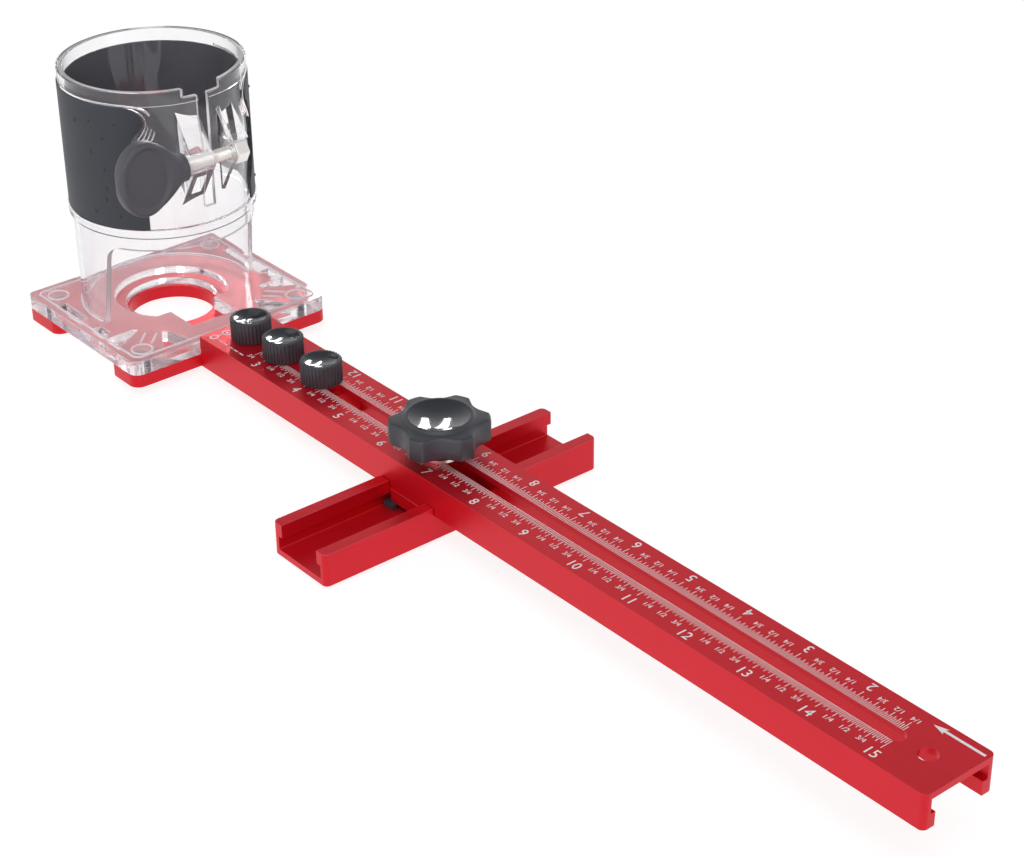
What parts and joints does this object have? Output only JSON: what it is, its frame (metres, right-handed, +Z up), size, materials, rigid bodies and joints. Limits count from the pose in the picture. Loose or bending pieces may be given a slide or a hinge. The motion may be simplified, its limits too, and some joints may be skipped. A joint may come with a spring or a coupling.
{
  "type": "router circle cutting jig",
  "caption": "Router circle cutting jig: clear motor sleeve on a red plate, slotted bar with inch scales and a pivot hole, and a sliding edge fence locked by a star knob.",
  "frame": {"origin": "the cutter's axis, at the underside of the red plate and the bar", "axes": "+X along the bar away from the cutter, +Y across the bar, +Z up along the cutter's axis"},
  "size_m": [0.4382, 0.1188, 0.1163],
  "materials": {
    "red_aluminium": "satin red anodised",
    "clear_plastic": "clear polished moulding",
    "black_rubber": "matt with small dimples",
    "black_moulding": "fine satin",
    "black_gloss": "polished",
    "bright_steel": "zinc plated",
    "dark_steel": "black oxide",
    "brass": "turned"
  },
  "bodies": {
    "root": {"main_bar": "red_aluminium", "router_plate": "red_aluminium", "clear_base": "clear_plastic", "grip_sleeve": "black_rubber", "base_screws": "dark_steel", "clamp_nut": "bright_steel"},
    "wing_screw": {"wing_knob": "black_moulding", "clamp_rod": "bright_steel"},
    "thumb_screw_1": {"thumb_knob_1": "black_moulding", "thumb_cap_1": "black_gloss", "thumb_stud_1": "bright_steel"},
    "thumb_screw_2": {"thumb_knob_2": "black_moulding", "thumb_cap_2": "black_gloss", "thumb_stud_2": "bright_steel"},
    "thumb_screw_3": {"thumb_knob_3": "black_moulding", "thumb_cap_3": "black_gloss", "thumb_stud_3": "bright_steel"},
    "fence": {"fence_channel": "red_aluminium", "fence_bolt": "dark_steel", "fence_block": "red_aluminium", "fence_pad": "black_rubber"},
    "lock_washer": {"star_washer": "bright_steel"},
    "star_lock": {"star_knob": "black_moulding", "star_insert": "brass", "star_cap": "black_gloss"}
  },
  "joints": [
    {"name": "wing_turn", "type": "hinge", "parent": "root", "child": "wing_screw", "pos_m": [0.0395, -0.01385, 0.0803], "axis": [0, 1, 0], "range_deg": [-360, 360]},
    {"name": "thumb_turn_1", "type": "hinge", "parent": "root", "child": "thumb_screw_1", "pos_m": [0.05555, 0, 0.0125], "axis": [0, 0, 1], "range_deg": [0, 1440]},
    {"name": "thumb_turn_2", "type": "hinge", "parent": "root", "child": "thumb_screw_2", "pos_m": [0.07645, 0, 0.0125], "axis": [0, 0, 1], "range_deg": [0, 1440]},
    {"name": "thumb_turn_3", "type": "hinge", "parent": "root", "child": "thumb_screw_3", "pos_m": [0.1004, 0, 0.0125], "axis": [0, 0, 1], "range_deg": [0, 1440]},
    {"name": "fence_slide", "type": "slide", "parent": "root", "child": "fence", "axis": [1, 0, 0], "range_m": [-0.043, 0.208]},
    {"name": "star_lift", "type": "slide", "parent": "fence", "child": "lock_washer", "axis": [0, 0, 1], "range_m": [0, 0.0017]},
    {"name": "star_turn", "type": "hinge", "parent": "lock_washer", "child": "star_lock", "pos_m": [0.1696, 0, 0.014], "axis": [0, 0, 1], "range_deg": [0, 720]}
  ],
  "couplings": [
    {"joint": "star_lift", "follows": "star_turn", "m_per_rad": 0.00012732}
  ]
}
